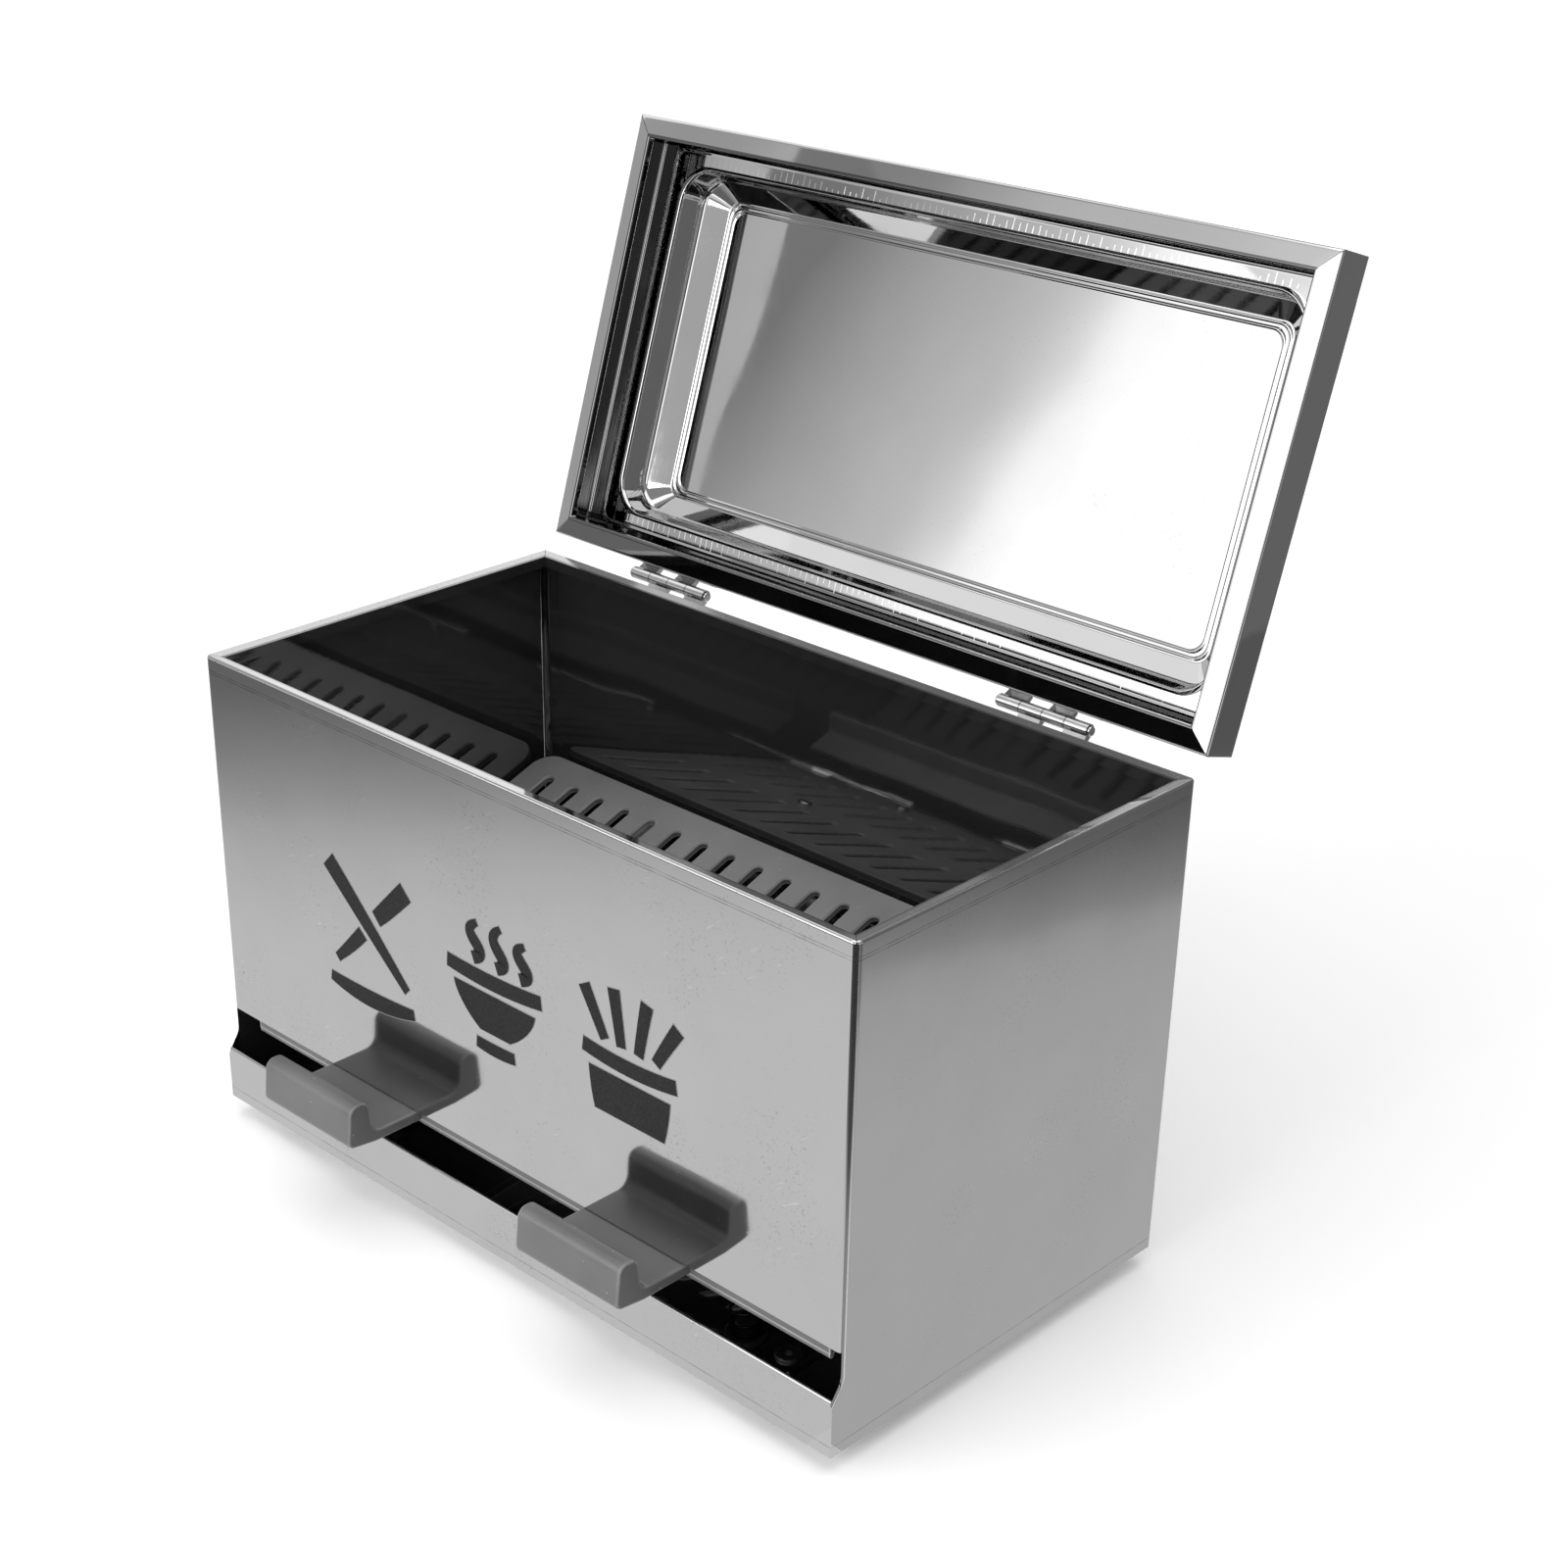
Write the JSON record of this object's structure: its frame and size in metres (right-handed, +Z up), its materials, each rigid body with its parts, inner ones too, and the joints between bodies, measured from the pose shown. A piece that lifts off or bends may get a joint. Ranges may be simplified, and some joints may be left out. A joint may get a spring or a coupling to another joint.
{
  "type": "chopstick dispenser",
  "caption": "Countertop box for loose chopsticks: polished steel cabinet, domed flip lid, slotted feed ramp and a sprung rocker whose two arms hand chopsticks out below the front.",
  "frame": {"origin": "on the table, under the middle of the whole part with its lid open", "axes": "X across the width, to the right seen from the front, Y from the front panel to the back, Z up"},
  "size_m": [0.29, 0.2514, 0.3246],
  "materials": {
    "polished_steel": "mirror polished sheet steel, 0.8 mm",
    "hinge_steel": "rolled steel hinge stock, satin",
    "plated_steel": "bright zinc plated steel",
    "rivet_aluminium": "plain aluminium eyelet rivet",
    "light_plastic": "light grey moulded plastic, satin",
    "grey_plastic": "mid grey moulded plastic, satin",
    "dark_plastic": "dark moulded plastic",
    "foot_rubber": "black moulded rubber"
  },
  "bodies": {
    "cabinet": {"body_shell": "polished_steel", "base_tray": "polished_steel", "left_box_leaf": "hinge_steel", "right_box_leaf": "hinge_steel", "left_hinge_pin": "hinge_steel", "right_hinge_pin": "hinge_steel", "feed_ramp": "light_plastic", "throat_deflector": "light_plastic", "left_ramp_support": "plated_steel", "right_ramp_support": "plated_steel", "ramp_screws": "plated_steel", "rocker_shaft": "plated_steel", "shaft_clips": "plated_steel", "left_bearing_bracket": "plated_steel", "right_bearing_bracket": "plated_steel", "floor_rivets": "rivet_aluminium", "left_return_spring": "plated_steel", "right_return_spring": "plated_steel", "spring_seats": "dark_plastic", "front_left_foot": "foot_rubber", "front_right_foot": "foot_rubber", "rear_left_foot": "foot_rubber", "rear_right_foot": "foot_rubber"},
    "lid": {"lid_shell": "polished_steel", "left_lid_leaf": "hinge_steel", "right_lid_leaf": "hinge_steel"},
    "rocker": {"dispensing_rocker": "grey_plastic"}
  },
  "joints": [
    {"name": "lid_hinge", "type": "hinge", "parent": "cabinet", "child": "lid", "pos_m": [0, 0.05895, 0.17585], "axis": [1, 0, 0], "range_deg": [0, 107.4]},
    {"name": "rocker_hinge", "type": "hinge", "parent": "cabinet", "child": "rocker", "pos_m": [0, -0.02355, 0.031], "axis": [1, 0, 0], "range_deg": [0, 7.2], "stiffness_Nm_per_rad": 1.2, "springref_deg": -9.74, "deforming": ["left_return_spring", "right_return_spring"]}
  ]
}
